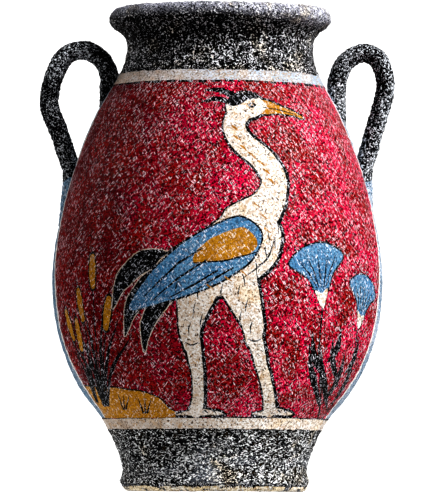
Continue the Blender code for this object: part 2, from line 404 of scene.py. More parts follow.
crane = {
    "outline": 1.45, "shift": (0.5, -0.3),
    "body": [
        (27, 141), (33, 130), (30, 117), (19, 106), (4, 99), (-11, 99), (-25, 105), (-32, 113), (-24, 121),
        (-8, 131), (6, 141), (17, 147),
    ],
    "neck": {
        "line": [(14, 133), (26, 146), (29, 158), (22, 169), (12, 177), (8, 186), (12, 194)],
        "widths": [27, 19, 14.5, 12.5, 11.5, 11.0, 10.5],
    },
    "head": [(4, 196), (8, 201.5), (15, 203), (22, 200), (25.5, 195.5), (20, 191), (12, 189), (6, 190)],
    "bill": [(22, 199.4), (33, 196.6), (48, 190.6), (34, 192.6), (22, 192.4)],
    "thighs": [
        {"line": [(-8, 108), (-12, 94), (-14, 82), (-13, 74)], "widths": [23, 18, 12, 8.5]},
        {"line": [(9, 110), (14, 96), (18, 85), (19, 76)], "widths": [22, 17.5, 12, 8.5]},
    ],
    "shanks": [
        {"line": [(-13, 77), (-10, 62), (-9, 50), (-10, 40.5)], "widths": [8.4, 6.2, 5.6, 6.6]},
        {"line": [(19, 79), (23, 64), (27, 51), (29, 41)], "widths": [8.4, 6.2, 5.6, 6.6]},
    ],
    "feet": [(-10, 39.4), (29, 39.8)],
    "wing": [
        (22, 131), (12, 138), (-4, 133), (-20, 123), (-36, 108), (-47, 92), (-33, 94), (-18, 98), (-2, 104),
        (12, 112), (20, 121),
    ],
    "wingBand": [(20, 127), (13, 133), (2, 130), (-9, 123), (-12, 115), (-2, 116), (9, 118), (18, 121)],
    "quills": [
        [(-8, 122), (-22, 113), (-38, 98)], [(-6, 116), (-19, 108), (-33, 96.5)],
        [(0, 111), (-12, 104), (-24, 97.5)], [(8, 112.5), (-1, 107.5), (-10, 102)],
    ],
    "tail": [
        {"line": [(-24, 117), (-38, 116), (-50, 107), (-57, 93)], "widths": [8, 11, 9, 1.2]},
        {"line": [(-24, 111), (-36, 104), (-45, 93), (-49, 79)], "widths": [8, 11, 8.5, 1.2]},
        {"line": [(-20, 106), (-29, 96), (-36, 85), (-38, 71)], "widths": [8, 9.5, 7.5, 1.2]},
    ],
    "downMarks": [
        (29, 129, 1), (24, 123.5, 1), (30.5, 136.5, 1), (19, 116.5, 1), (25.5, 132, 1), (13, 109.5, 1),
        (-9, 103, -1), (-11, 95, -1), (-7.5, 89, -1), (-13.5, 85, -1), (11.5, 104, -1), (15.5, 97, -1),
        (12.5, 90.5, -1), (18, 86, -1), (3, 104.5, -1), (-20, 106, -1), (20, 110.5, 1),
    ],
    "neckMarks": [
        (27.5, 157.5), (24.6, 162.5), (21.4, 167), (17.2, 170.8), (12.6, 174.4), (9.4, 179.4), (8.2, 184.6),
    ],
    "ochreMarks": [(4, 108), (12, 111), (-5, 104), (22, 140), (24, 133), (18, 146)],
    "foot": [(-10, -0.6), (-3, 1.6), (0, 3.6), (4, 2.2), (13, 0.4), (13, -0.8), (0, -1.0)],
    "wingRib": [(21, 121), (9, 117.5), (-3, 115.5), (-12, 115)],
    "cap": [(4.5, 197), (8, 201.6), (15, 203), (21, 200.4), (15, 199), (9, 196)],
    "eye": [(15, 196.6), (17.5, 197.8), (20, 196.4), (17.5, 194.9)],
    "eyeLight": [(16.9, 196.5), (17.6, 197), (18.2, 196.4), (17.5, 195.9)],
    "billLine": [(24, 195.4), (34, 194.2), (44, 191.6)], "breastLine": [(30, 128), (25, 117), (14, 108)],
    "crest": [
        {"line": [(9, 200.5), (1, 204), (-7, 204)], "widths": [3.4, 3.0, 0.6]},
        {"line": [(7, 197.5), (-1, 199.5), (-8.5, 197.6)], "widths": [3.2, 2.8, 0.6]},
    ],
}


def paintCrane(panel):
    edge, shift = crane["outline"], Vector(crane["shift"])
    creamParts = [lambda grow: blob(crane["body"], grow), lambda grow: blob(crane["head"], grow)]
    for part in (crane["neck"], *crane["thighs"], *crane["shanks"]):
        creamParts.append(lambda grow, part=part: stroke(part["line"], part["widths"], grow))
    for x, z in crane["feet"]:
        foot = [(x + across, z + up) for across, up in crane["foot"]]
        creamParts.append(lambda grow, foot=foot: blob(foot, grow))
    for feather in crane["crest"]:
        draw(panel, "brushBlack", feather["line"], feather["widths"])
    for feather in crane["tail"]:
        draw(panel, "creamSlip", feather["line"], feather["widths"], 0.55)
        draw(panel, "brushBlack", feather["line"], feather["widths"])
    for part in creamParts:
        put(panel, "brushBlack", [place + shift for place in part(edge)])
    fill(panel, "brushBlack", crane["bill"], edge * 0.7)
    fill(panel, "ochrePaint", crane["bill"])
    for part in creamParts:
        put(panel, "creamSlip", part(0.0))
    fill(panel, "brushBlack", crane["wing"], 1.0)
    fill(panel, "bluePaint", crane["wing"])
    fill(panel, "ochrePaint", crane["wingBand"])
    for quill in crane["quills"]:
        draw(panel, "brushBlack", quill, [0.9, 1.1, 0.5])
    draw(panel, "brushBlack", crane["wingRib"], [0.6, 1.0, 0.5])
    fill(panel, "brushBlack", crane["cap"])
    fill(panel, "brushBlack", crane["eye"])
    fill(panel, "creamSlip", crane["eyeLight"])
    draw(panel, "brushBlack", crane["billLine"], [0.5, 0.6, 0.3])
    draw(panel, "brushBlack", crane["breastLine"], [0.4, 1.0, 0.4])
    for x, z in crane["ochreMarks"]:
        draw(panel, "ochrePaint", [(x, z), (x + 3.2, z - 2.2)], [0.9, 0.5])
    for x, z, way in crane["downMarks"]:
        mark = [(x, z), (x + 0.9 * way, z - 3.2), (x + 1.0 * way, z - 6.4)]
        draw(panel, "brushBlack", mark, [0.3, 0.75, 0.3])
    for x, z in crane["neckMarks"]:
        mark = [(x - 1.6, z + 0.8), (x + 0.4, z - 0.4), (x + 2.0, z - 1.9)]
        draw(panel, "ochrePaint", mark, [0.6, 1.3, 0.5])
    for x, z in crane["feet"]:
        for reach in (4.5, 8.5):
            draw(panel, "brushBlack", [(x + reach, z + 1.4), (x + reach + 1.6, z + 0.2)], [0.8, 0.5])
    for shank in crane["shanks"]:
        x, z = shank["line"][0]
        knee = [(x - 3.2, z - 2.2), (x + 0.2, z - 3.2), (x + 3.4, z - 2.0)]
        draw(panel, "brushBlack", knee, [0.5, 0.9, 0.5])


paintBank("front")
for plant in papyrus["front"]:
    paintPapyrus("front", plant)
paintCrane("front")
for plant in papyrus["back"]:
    paintPapyrus("back", plant)
print("picture drawn:", len(picture), "brush shapes")


# The paint's layout on the wall, in metres. The panels' edges are heights in mm and angles in degrees,
# and a gap is where a painted line breaks off: how often, two places in the noise, and its limit.
layout = {
    "edgeTop": 2.7 * mm, "edgeShadow": 1.1 * mm, "contactShadow": 0.35 * mm, "footTop": 31.9 * mm,
    "bandTop": 37.2 * mm, "groundLine": 0.9 * mm, "dash": 1.35 * mm, "shoulderBand": 209.6 * mm,
    "neckBottom": 215.2 * mm, "insideDrop": 13 * mm, "meshDrop": 20 * mm, "rule": 2.7 * mm,
    "waver": 0.35 * mm, "bumpier": {"edge": 2.2, "inside": 2.2, "foot": 1.7, "dash": 1.8, "neck": 2.0},
    "panelEdges": (
        (37, 76), (42, 74), (48, 72.6), (58, 73.8), (68, 76.2), (80, 77), (100, 76.8), (120, 79),
        (133, 79.8), (143, 81), (151, 82.6), (160, 83), (168, 81.6), (178, 80.4), (190, 79.6), (208, 79.6),
    ),
    "gaps": {"shadow": (5, 1, 7, -0.20), "dash": (16, 5, 2, -0.08), "line": (6, 2, 2, -0.25)},
}
seamAngle = -math.pi / 2  # under the left handle

# How finely the wall is meshed, in metres, but merge is in mm: points nearer than that become one
meshPlan = {
    "spacing": 1.95 * mm, "fineSpacing": 1.12 * mm, "rowShare": 0.87, "clear": 0.42 * mm, "merge": 0.02,
    "footColumns": 200, "mouthColumns": 160, "insideStep": 4.0 * mm, "floorRings": 10, "undersideRings": 14,
    "lineSteps": 620, "shortest": 0.12 * mm, "inset": 0.5 * mm, "otherInset": 0.9 * mm,
}
paintOrder = [
    "neckSlip", "footSlip", "handleSlip", "bandSlip", "creamSlip", "ruleSlip", "redPaint", "bluePaint",
    "ochrePaint", "greyPaint", "bareClay", "edgeClay", "brushBlack",
]


def waver(angle, seed):
    around = Vector((math.cos(angle), math.sin(angle), seed))
    slow = noise.noise(around * 2.2) + 0.6 * noise.noise(around * 7)
    return layout["waver"] * (slow + 0.35 * noise.noise(around * 60))


levelRuns = {
    "edge": runAt(layout["edgeTop"]), "foot": runAt(layout["footTop"]), "band": runAt(layout["bandTop"]),
    "line": runAt(layout["bandTop"]) + layout["groundLine"], "shoulder": runAt(layout["shoulderBand"]),
    "dash": runAt(layout["shoulderBand"]) - layout["dash"], "neck": runAt(layout["neckBottom"]),
    "inside": insideRunAt(topZ - layout["insideDrop"]),
}
levelNames = list(levelRuns)
endRun = insideRunAt(topZ - layout["meshDrop"])


def levelRun(name, angle):
    bumpier = layout["bumpier"].get(name, 1.0)
    return levelRuns[name] + bumpier * waver(angle, levelNames.index(name) * 3.1)


# How far round the painted panels reach at each height: least low on the belly, most by the handles' feet
edgeRuns = np.linspace(runAt(30 * mm), runAt(214 * mm), 240)
edgeAngles = np.interp(edgeRuns, [runAt(height * mm) for height, angle in layout["panelEdges"]],
                       [angle for height, angle in layout["panelEdges"]])
sideSeeds = {"frontLeft": -1, "frontRight": 1, "backLeft": 2, "backRight": 4}
edgeAngles[5:-5] = np.convolve(edgeAngles, np.ones(11) / 11, "valid")


def ruleAngle(side, run, offset):
    edge = math.radians(float(np.interp(run, edgeRuns, edgeAngles)))
    middle = {"frontLeft": -edge, "frontRight": edge, "backLeft": math.pi - edge,
              "backRight": math.pi + edge}[side]
    return middle + (offset + waver(run / meanRadius * 3, 5 + 3 * sideSeeds[side])) / meanRadius


def unbroken(name, angle):
    often, first, second, limit = layout["gaps"][name]
    return noiseAt(angle * often, first, second) > limit


def wallPaint(angle, run):
    edge = levelRun("edge", angle)
    streak = noiseAt(angle * 7, run / (1.1 * mm), 7) + 0.4 * noiseAt(angle * 30, 3, 7)
    if run < edge:
        # The lowest strip is black, a painted contact shadow where the foot meets the floor; the streaks are
        # black paint
        return "edgeClay" if streak > -0.24 and run > layout["contactShadow"] else "brushBlack"
    if run < edge + layout["edgeShadow"] and unbroken("shadow", angle):
        return "brushBlack"
    for name, paint in (("foot", "footSlip"), ("band", "creamSlip")):
        if run < levelRun(name, angle):
            return paint
    for name, paint in (("inside", "bareClay"), ("neck", "neckSlip"), ("shoulder", "bandSlip")):
        if run > levelRun(name, angle):
            return paint
    if run > levelRun("dash", angle) and unbroken("dash", angle):
        return "brushBlack"
    if run < levelRun("line", angle) and unbroken("line", angle):
        return "brushBlack"
    half = layout["rule"] / 2
    for side in sideSeeds:
        if ruleAngle(side, run, -half) < angle < ruleAngle(side, run, half):
            return "ruleSlip"
    onFront = ruleAngle("frontLeft", run, 0) < angle < ruleAngle("frontRight", run, 0)
    onBack = ruleAngle("backLeft", run, 0) < angle < ruleAngle("backRight", run, 0)
    return "redPaint" if onFront or onBack else "greyPaint"


def wallPlan():
    lines, shapes = [], []
    for name in levelNames:
        angles = np.linspace(seamAngle, seamAngle + 2 * math.pi, meshPlan["lineSteps"])
        line = [(angle, levelRun(name, angle)) for angle in angles]
        line[-1] = (line[-1][0], line[0][1])
        lines.append(line)
    low, high = levelRuns["line"] + 0.6 * mm, levelRuns["shoulder"] - 0.6 * mm
    for side in sideSeeds:
        for offset in (-layout["rule"] / 2, layout["rule"] / 2):
            steps = np.linspace(low, high, int((high - low) / (1.0 * mm)))
            lines.append([(ruleAngle(side, run, offset), run) for run in steps])
    for number, (panel, paint, outline) in enumerate(picture):
        # Neighbours stop at two distances from the rule: a shape and its black edge don't end along one line
        inset = meshPlan["otherInset"] if number % 2 else meshPlan["inset"]
        middle = 0.0 if panel == "front" else math.pi
        shape = []
        for across, height in outline:
            height = min(max(height * mm, layout["bandTop"] + 0.1 * mm), layout["shoulderBand"] - 1.2 * mm)
            edge = ruleAngle("frontRight", runAt(height), -0.5 * layout["rule"] - inset)
            angle = within(across * mm / radiusAt(height), -edge, edge)
            shape.append((middle + angle, max(runAt(height), levelRuns["line"] - 0.5 * mm)))
        shapes.append((paint, shape))
    return lines, shapes


def apart(place, other):
    return math.hypot((place[0] - other[0]) * meanRadius, place[1] - other[1])


def tidyShape(shape):
    kept = [shape[0]]
    for place in shape[1:]:
        if apart(place, kept[-1]) > meshPlan["shortest"]:
            kept.append(place)
    if apart(kept[0], kept[-1]) < meshPlan["shortest"]:
        kept.pop()
    return kept


def insideShape(points, shape):
    turns = np.zeros(len(points))
    x, y = points[:, :1], points[:, 1:]
    startX, startY = shape[:, 0], shape[:, 1]
    endX, endY = np.roll(startX, -1), np.roll(startY, -1)
    leftward = (endX - startX) * (y - startY) - (x - startX) * (endY - startY)
    turns += ((startY <= y) & (endY > y) & (leftward > 0)).sum(axis=1)
    turns -= ((startY > y) & (endY <= y) & (leftward < 0)).sum(axis=1)
    return turns != 0


def layOutWall():
    lines, shapes = wallPlan()
    places, edges = [], []

    def add(angle, run):
        places.append(Vector(((angle - seamAngle) * meanRadius / mm, run / mm)))
        return len(places) - 1

    for line in lines:
        numbers = [add(*place) for place in line]
        edges += list(zip(numbers, numbers[1:]))
    shapes = [(paint, tidyShape(shape)) for paint, shape in shapes]
    for paint, shape in shapes:
        numbers = [add(*place) for place in shape]
        edges += list(zip(numbers, numbers[1:] + numbers[:1]))
    near = kdtree.KDTree(len(places))
    for index, place in enumerate(places):
        near.insert((place.x, place.y, 0), index)
    near.balance()

    clear = meshPlan["clear"] / mm
    full = 2 * math.pi
    for run, columns in ((0.0, meshPlan["footColumns"]), (endRun, meshPlan["mouthColumns"])):
        for column in range(columns + 1):
            add(seamAngle + full * column / columns, run)
    run, row = 0.0, 0
    while True:
        fine = run < levelRuns["foot"] + 1 * mm or run > levelRuns["neck"] - 1 * mm
        spacing = meshPlan["fineSpacing"] if fine else meshPlan["spacing"]
        run, row = run + meshPlan["rowShare"] * spacing, row + 1
        if run > endRun - 0.5 * spacing:
            break
        radius = float(np.interp(run, runs, radii))
        columns = int(full * radius / spacing)
        shift = 0.5 * (row % 2)
        angles = [seamAngle, seamAngle + full]
        angles += [seamAngle + full * (column + shift) / columns for column in range(1, columns)
                   if 0.6 < column + shift < columns - 0.4]
        for angle in angles:
            spot = ((angle - seamAngle) * meanRadius / mm, run / mm, 0)
            if near.find(spot)[2] > clear:
                add(angle, run)
    found = geometry.delaunay_2d_cdt(places, edges, [], 0, meshPlan["merge"])
    wallPlaces = np.array([(seamAngle + place.x * mm / meanRadius, place.y * mm) for place in found[0]])
    triangles = np.array(found[2])
    middles = wallPlaces[triangles].mean(axis=1)
    paints = [wallPaint(angle, run) for angle, run in middles.tolist()]
    for paint, shape in shapes:
        shape = np.array(shape)
        boxed = ((middles > shape.min(axis=0)) & (middles < shape.max(axis=0))).all(axis=1).nonzero()[0]
        for index in boxed[insideShape(middles[boxed], shape)]:
            paints[index] = paint
    print("wall laid out:", len(wallPlaces), "points,", len(triangles), "triangles")
    return wallPlaces.tolist(), triangles.tolist(), paints


# Painted sheen: pale clouds low on the foot, most of all in the middle of the front
def sheenCloudAt(place):
    cloud = noise.noise(Vector((place.x, place.y, 2.2 * place.z)) / 0.014 + Vector((4, 1, 6)))
    if place.y < 0:
        cloud = 0.6 * cloud + 0.50 * hump(place.x, -6 * mm, 15 * mm) - 0.08
    return hump(place.z, 12 * mm, 9 * mm) * within(1.5 * cloud)


# How worn the paint is, with painted light in it: 0 fresh, 1 most chipped. The chips thicken towards the
# right as painted light, above all on top of the lip, thin under the lip as painted shade, and thicken as
# painted light on the left handle's outer side and the neck's left, and as painted sheen in the foot's pale
# clouds. The foot is worn about evenly all round. The right handle's leg is (height, middle) in mm, and its
# outer side gets
# more chips than its inner side: painted highlight outside, painted shade inside.
wear = {
    "all": 0.235, "right": 0.205, "patches": 0.16, "underLipShade": -0.12, "lipTop": -0.17, "lipTopRight": 0.34,
    "lowBelly": -0.05, "leftHandle": 0.04, "leg": -0.03, "legOutsideHighlight": 0.13, "shoulder": 0.10, "foot": 0.20,
    "sheenClouds": 0.12, "neckLeft": 0.07, "rightLeg": ((170, 75.5), (177, 78.7), (191, 84.4), (213, 86.5)),
}


# The right leg's outer side gets more chips as a painted highlight, its inner side fewer as painted shade
def legHighlightAt(place):
    if place.x < 74 * mm or place.z < 168 * mm:
        return 0.0
    outside = within((place.x / mm - tableAt(place.z / mm, wear["rightLeg"])) / 4, -1.0)
    return wear["legOutsideHighlight"] * outside + wear["leg"]


def wornAndLitAt(place):
    right = within(0.46 + 0.62 * place.x / (place.xy.length or 1.0))
    patches = noise.noise(place / 0.012) + 0.6 * noise.noise(place / 0.004)
    foot = max(0.0, 1 - place.z / (32 * mm))
    onTop = within((place.z - topZ + 5 * mm) / (4 * mm))
    onNeck = within((place.z - topZ + 36 * mm) / (4 * mm))
    leftSide = max(0.0, (-place.x - 66 * mm) / (6 * mm)) * min(1.0, place.z / (180 * mm)) ** 8
    # Chips thicken towards the right as painted light; the base and the patches are real wear
    wornAndLit = wear["all"] + wear["right"] * right + wear["patches"] * patches
    # Fewer chips under the lip: painted shade
    wornAndLit += wear["underLipShade"] * hump(place.z, topZ - 14 * mm, 5 * mm)
    wornAndLit += wear["lowBelly"] * hump(place.z, 68 * mm, 26 * mm)
    # On top of the lip, more chips on the right: painted light
    wornAndLit += onTop * (wear["lipTopRight"] * right + wear["lipTop"])
    # More chips on the left handle's outer side: painted rim light
    wornAndLit += wear["leftHandle"] * min(1.0, leftSide) + legHighlightAt(place)
    if place.x < 72 * mm and place.z < 213 * mm:
        wornAndLit += wear["shoulder"] * right * hump(place.z, 200 * mm, 13 * mm)
    # Even wear low on the foot, and more chips in its pale clouds as painted sheen
    wornAndLit += wear["foot"] * min(1, 3 * foot) * (1 - 0.85 * right) + wear["sheenClouds"] * sheenCloudAt(place)
    # More chips on the left of the neck: painted light
    return within(wornAndLit + wear["neckLeft"] * (1 - right) * onNeck)


# Grey dust and painted sheen on top of the lip, reaching further down on the right where the light falls,
# and painted sheen in patches low on the foot
def dustAndSheenAt(place):
    right = max(0.0, place.x / (place.xy.length or 1.0))
    onLip = within((place.z - topZ + (7.2 + 4.2 * right) * mm) / (5.5 * mm))
    patches = noise.noise(place / 0.014 + Vector((4, 1, 6)))
    return within(onLip * (0.9 + 0.5 * patches) + 0.45 * sheenCloudAt(place))


# Painted light and shade from the side, with faded paint in uneven patches: 0 keeps a paint's left colour,
# 1 takes its right colour, rising towards the right
def litAndFadedAt(place):
    away = place.xy.length or 1.0
    return within(0.70 + 1.00 * place.x / away + 0.30 * noise.noise(place / 0.020 + Vector((7, 7, 2))))


# Where each part of the jar lies on its baked map. The painted front takes the most room.
bakePlan = {
    "front": (0.004, 0.594), "back": (0.606, 0.996), "wallLow": 0.172, "wallHigh": 0.996,
    "inside": (0.004, 0.720), "insideLow": 0.004, "insideHigh": 0.160, "floor": (0.792, 0.082),
    "under": (0.922, 0.082), "discSize": 0.062,
}
wrapScale = 10  # the wrap map counts in tenths of a metre


def bakePlace(chart, angle, run, middle, place):
    if chart == "wall":
        low, high = bakePlan["front"] if middle < math.pi / 2 else bakePlan["back"]
        start = seamAngle if middle < math.pi / 2 else math.pi / 2
        across = low + (high - low) * (angle - start) / math.pi
        return across, bakePlan["wallLow"] + (bakePlan["wallHigh"] - bakePlan["wallLow"]) * run / endRun
    if chart == "inside":
        low, high = bakePlan["inside"]
        across = low + (high - low) * (angle - seamAngle) / (2 * math.pi)
        share = (run - endRun) / (lastRun - endRun)
        return across, bakePlan["insideLow"] + (bakePlan["insideHigh"] - bakePlan["insideLow"]) * share
    x, y = bakePlan[chart]
    size = bakePlan["discSize"] / (radii[-1] if chart == "floor" else radii[0])
    return x + place.x * size, y + place.y * size


# Makes the mesh and its maps, welds the seams and keeps at each point its wear with painted light, its
# dust with painted sheen, and its painted side light in uneven patches
def makePiece(name, places, faces, paints, wrap, bake, closeEnds=False):
    mesh = bpy.data.meshes.new(name)
    mesh.from_pydata(places, [], faces)
    mesh.polygons.foreach_set("material_index", paints)
    for mapName, pairs in (("wrap", wrap), ("OFBake", bake)):
        uvMap = mesh.uv_layers.new(name=mapName)
        uvMap.data.foreach_set("uv", [value for pair in pairs for value in pair])
    form = bmesh.new()
    form.from_mesh(mesh)
    bmesh.ops.remove_doubles(form, verts=form.verts, dist=weld)
    if closeEnds:
        bmesh.ops.holes_fill(form, edges=[edge for edge in form.edges if edge.is_boundary], sides=0)
        bmesh.ops.recalc_face_normals(form, faces=form.faces)
    form.to_mesh(mesh)
    form.free()
    mesh.uv_layers.active = mesh.uv_layers["wrap"]
    for label, valueAt in (("wornAndLit", wornAndLitAt), ("dustAndSheenAmount", dustAndSheenAt), ("litAndFaded", litAndFadedAt)):
        kept = mesh.attributes.new(label, "FLOAT", "POINT")
        kept.data.foreach_set("value", [valueAt(vertex.co) for vertex in mesh.vertices])
    mesh.shade_smooth()
    return addObject(name, mesh)


# The underside is bare and nearly flat, with a faint swirl where the jar was cut from the wheel
def underside(angle, radius):
    place = Vector((radius * math.sin(angle), -radius * math.cos(angle), 0))
    swirl = 0.05 * mm * math.sin(radius / (1.1 * mm) + 2 * angle)
    lift = min(1.0, (radii[0] - radius) / (3 * mm))
    place *= 1 - bevelAt(place) / radii[0]
    place.x += axisAt(0)
    place.z = lift * (0.25 * mm + swirl + 0.12 * mm * noise.noise(place / 0.004))
    return place


def floorPlace(angle, radius):
    return Vector((radius * math.sin(angle) + axisAt(floorZ), -radius * math.cos(angle),
                   floorZ + 0.3 * mm * math.sin(radius / (1.6 * mm))))


lastRun, floorZ = float(runs[-1]), float(heights[-1])
floorRadius, footRadius = float(radii[-1]), float(radii[0])


def buildJar():
    wallPlaces, faces, paints = layOutWall()
    places = [onWall(angle, run) for angle, run in wallPlaces]
    spots = list(wallPlaces)
    paints = [paintOrder.index(paint) for paint in paints]
    charts = ["wall"] * len(faces)

    def border(level):
        found = [index for index, spot in enumerate(wallPlaces) if abs(spot[1] - level) < 1e-7]
        return sorted(found, key=lambda index: wallPlaces[index][0])

    def addFace(corners, chart):
        faces.append(corners)
        paints.append(paintOrder.index("bareClay"))
        charts.append(chart)

    def addRing(before, placeAt, across, run, chart, flip=False):
        columns = len(before) - 1
        angles = [seamAngle + 2 * math.pi * column / columns for column in range(columns + 1)]
        ring = list(range(len(places), len(places) + columns + 1))
        places.extend(placeAt(angle, across) for angle in angles)
        spots.extend((angle, run) for angle in angles)
        for index in range(columns):
            corners = [before[index], before[index + 1], ring[index + 1], ring[index]]
            addFace(corners[::-1] if flip else corners, chart)
        return ring

    def closeRing(ring, middle, run, chart, flip=False):
        places.append(middle)
        spots.append((0, run))
        for low, high in zip(ring, ring[1:]):
            addFace([high, low, len(places) - 1] if flip else [low, high, len(places) - 1], chart)

    ring = border(endRun)
    steps = int((lastRun - endRun) / meshPlan["insideStep"])
    for step in range(1, steps + 1):
        run = endRun + (lastRun - endRun) * step / steps
        ring = addRing(ring, onWall, run, run, "inside")
    for step in range(1, meshPlan["floorRings"] + 1):
        radius = floorRadius * (1 - step / (meshPlan["floorRings"] + 0.5))
        ring = addRing(ring, floorPlace, radius, lastRun + floorRadius - radius, "floor")
    closeRing(ring, Vector((axisAt(floorZ), 0, floorZ)), lastRun + floorRadius, "floor")
    ring = border(0.0)
    for step in range(1, meshPlan["undersideRings"] + 1):
        radius = footRadius * (1 - step / (meshPlan["undersideRings"] + 0.5))
        ring = addRing(ring, underside, radius, radius - footRadius, "under", True)
    closeRing(ring, Vector((axisAt(0), 0, 0.25 * mm)), -footRadius, "under", True)

    wrap, bake = [], []
    for face, chart in zip(faces, charts):
        middle = sum(spots[vertex][0] for vertex in face) / len(face)
        for number, vertex in enumerate(face):
            angle, run = spots[vertex]
            if chart in ("floor", "under") and len(face) == 3 and number == 2:
                angle = middle * 1.5
            wrap.append((angle * meanRadius * wrapScale, run * wrapScale))
            bake.append(bakePlace(chart, angle, run, middle, places[vertex]))
    return makePiece("paintedJar", places, faces, paints, wrap, bake)


# The two loops, bent by hand, as in the solid
loops = {
    "leftHandle": {
        "side": -1, "legOut": -0.8 * mm, "legRise": 10.6 * mm, "arch": 13.7 * mm, "reach": 31.1 * mm,
        "turnDrop": 12.6 * mm, "footDrop": 41.5 * mm, "footOut": 0.7 * mm, "tail": 26.1 * mm,
        "tailSink": 2.2 * mm, "tailThickness": 6.3 * mm, "lean": -0.016, "haunch": (0.311, 0.678),
        "shoulder": (0.629, 0.616), "slant": (0.490, 0.527),
    },
    "rightHandle": {
        "side": 1, "legOut": 2.4 * mm, "legRise": 10.1 * mm, "arch": 13.7 * mm, "reach": 25.2 * mm,
        "turnDrop": 5.3 * mm, "footDrop": 38.2 * mm, "footOut": 0.3 * mm, "tail": 18.9 * mm,
        "tailSink": 2.1 * mm, "tailThickness": 4.2 * mm, "lean": 0.035, "haunch": (0.360, 0.680),
        "shoulder": (0.738, 0.680), "slant": (0.445, 0.460),
    },
}
roll = {
    "thickness": 9.8 * mm, "breadth": 11.2 * mm, "rootBelowTop": 46.0 * mm, "flare": 0.32,
    "flareRise": 6.0 * mm, "sides": 56, "ringStep": 0.62 * mm, "paintEnd": 161 * mm, "lump": 0.30 * mm,
    "lumpSize": 9 * mm, "crumb": 0.62 * mm, "crumbSize": 1.45 * mm, "thinner": 0.10 * mm,
}


def evenly(line, step):
    places = np.array([tuple(place) for place in line])
    travelled = np.concatenate([[0], np.cumsum(np.hypot(*np.diff(places, axis=0).T))])
    wanted = np.linspace(0, travelled[-1], int(travelled[-1] / step))
    spread = [np.interp(wanted, travelled, places[:, side]).tolist() for side in (0, 1)]
    return [Vector(place) for place in zip(*spread)]


def handleLine(loop):
    rootZ = topZ - roll["rootBelowTop"]
    arch, leg = loop["arch"], radiusAt(rootZ) + loop["legOut"]
    archZ = rootZ + loop["legRise"]
    crown, outer = leg + arch, leg + loop["reach"]
    turnZ, footZ = archZ - loop["turnDrop"], rootZ - loop["footDrop"]
    foot, tailZ = radiusAt(footZ) + loop["footOut"], footZ - loop["tail"]
    haunch, shoulder, slant = loop["haunch"], loop["shoulder"], loop["slant"]
    knots = [(leg, rootZ - roll["thickness"] * 1.5), (leg, rootZ + loop["legRise"] * 0.30),
             (leg + arch * loop["lean"], archZ), (leg + arch * haunch[0], archZ + arch * haunch[1]),
             (crown, archZ + arch), (crown + (outer - crown) * shoulder[0], archZ + arch * shoulder[1]),
             (outer, turnZ), (foot + (outer - foot) * slant[0], footZ + (turnZ - footZ) * slant[1]),
             (foot + roll["thickness"] * 0.18, footZ + roll["thickness"] * 0.85), (foot, footZ),
             (radiusAt(tailZ) - loop["tailSink"], tailZ)]
    scaled = [Vector(knot) / mm for knot in knots]
    return [place * mm for place in evenly(catmullRom(scaled, False), roll["ringStep"] / mm)], rootZ, footZ


def buildHandle(name):
    loop = loops[name]
    line, rootZ, footZ = handleLine(loop)
    sides, places, spots, faces, travelled = roll["sides"], [], [], [], 0.0
    for index, middle in enumerate(line):
        along = (line[min(index + 1, len(line) - 1)] - line[max(index - 1, 0)]).normalized()
        across = Vector((along.y, -along.x))
        upper = index < len(line) / 2
        gap = middle.y - (rootZ if upper else footZ)
        swell = 1 + roll["flare"] * math.exp(-max(gap, 0) / roll["flareRise"])
        thin = 1.0
        if not upper and gap < 0:
            thin = 1 + (loop["tailThickness"] / roll["thickness"] - 1) * min(-gap / loop["tail"], 1)
        if index:
            travelled += (middle - line[index - 1]).length
        for side in range(sides + 1):
            angle = 2 * math.pi * side / sides
            out = middle + across * (roll["thickness"] / 2 * thin) * math.cos(angle)
            bare = Vector((loop["side"] * out.x, roll["breadth"] / 2 * swell * math.sin(angle), out.y))
            away = Vector((loop["side"] * across.x * math.cos(angle), math.sin(angle),
                           across.y * math.cos(angle)))
            lumps = roll["lump"] * noise.noise(bare / roll["lumpSize"] + Vector((5, 5, 5)))
            crumbs = roll["crumb"] * noise.noise(bare / roll["crumbSize"] + Vector((1, 7, 3)))
            places.append(bare + away * (lumps + crumbs - roll["thinner"]))
            spots.append((angle * roll["thickness"] / 2, travelled))
    for ring in range(len(line) - 1):
        for side in range(sides):
            low = ring * (sides + 1) + side
            corners = [low, low + 1, low + sides + 2, low + sides + 1]
            faces.append(corners if loop["side"] < 0 else corners[::-1])
    wrap, bake, paints = [], [], []
    for face in faces:
        middle = sum((places[vertex] for vertex in face), Vector()) / len(face)
        low = middle.z < roll["paintEnd"] + 2.2 * mm * noise.noise(middle / 0.006)
        paints.append(paintOrder.index("greyPaint" if low else "handleSlip"))
        for vertex in face:
            around, run = spots[vertex]
            wrap.append((around * wrapScale, run * wrapScale + 3))
            bake.append((0.01 + 0.98 * around / (math.pi * roll["thickness"]), 0.01 + 0.96 * run / travelled))
    return makePiece(name, places, faces, paints, wrap, bake, True)


# Shader groups that every paint shares
def newGroup(name, inputs, outputs):
    tree = bpy.data.node_groups.new(name, "ShaderNodeTree")
    for label, value in inputs.items():
        kind = "NodeSocketVector" if isinstance(value, tuple) else "NodeSocketFloat"
        socket = tree.interface.new_socket(label, in_out="INPUT", socket_type=kind)
        socket.default_value = value
    for label in outputs:
        tree.interface.new_socket(label, in_out="OUTPUT", socket_type="NodeSocketFloat")
    start = tree.nodes.new("NodeGroupInput")
    end = tree.nodes.new("NodeGroupOutput")
    return tree, start.outputs, end.inputs


def addNode(tree, kind, links=None, **settings):
    node = tree.nodes.new(kind)
    for key, value in settings.items():
        setattr(node, key, value)
    for key, value in (links or {}).items():
        socket = node.inputs[key]
        if isinstance(value, bpy.types.NodeSocket):
            tree.links.new(value, socket)
        else:
            socket.default_value = value
    return node


def calculate(tree, operation, *values):
    return addNode(tree, "ShaderNodeMath", dict(enumerate(values)), operation=operation).outputs[0]


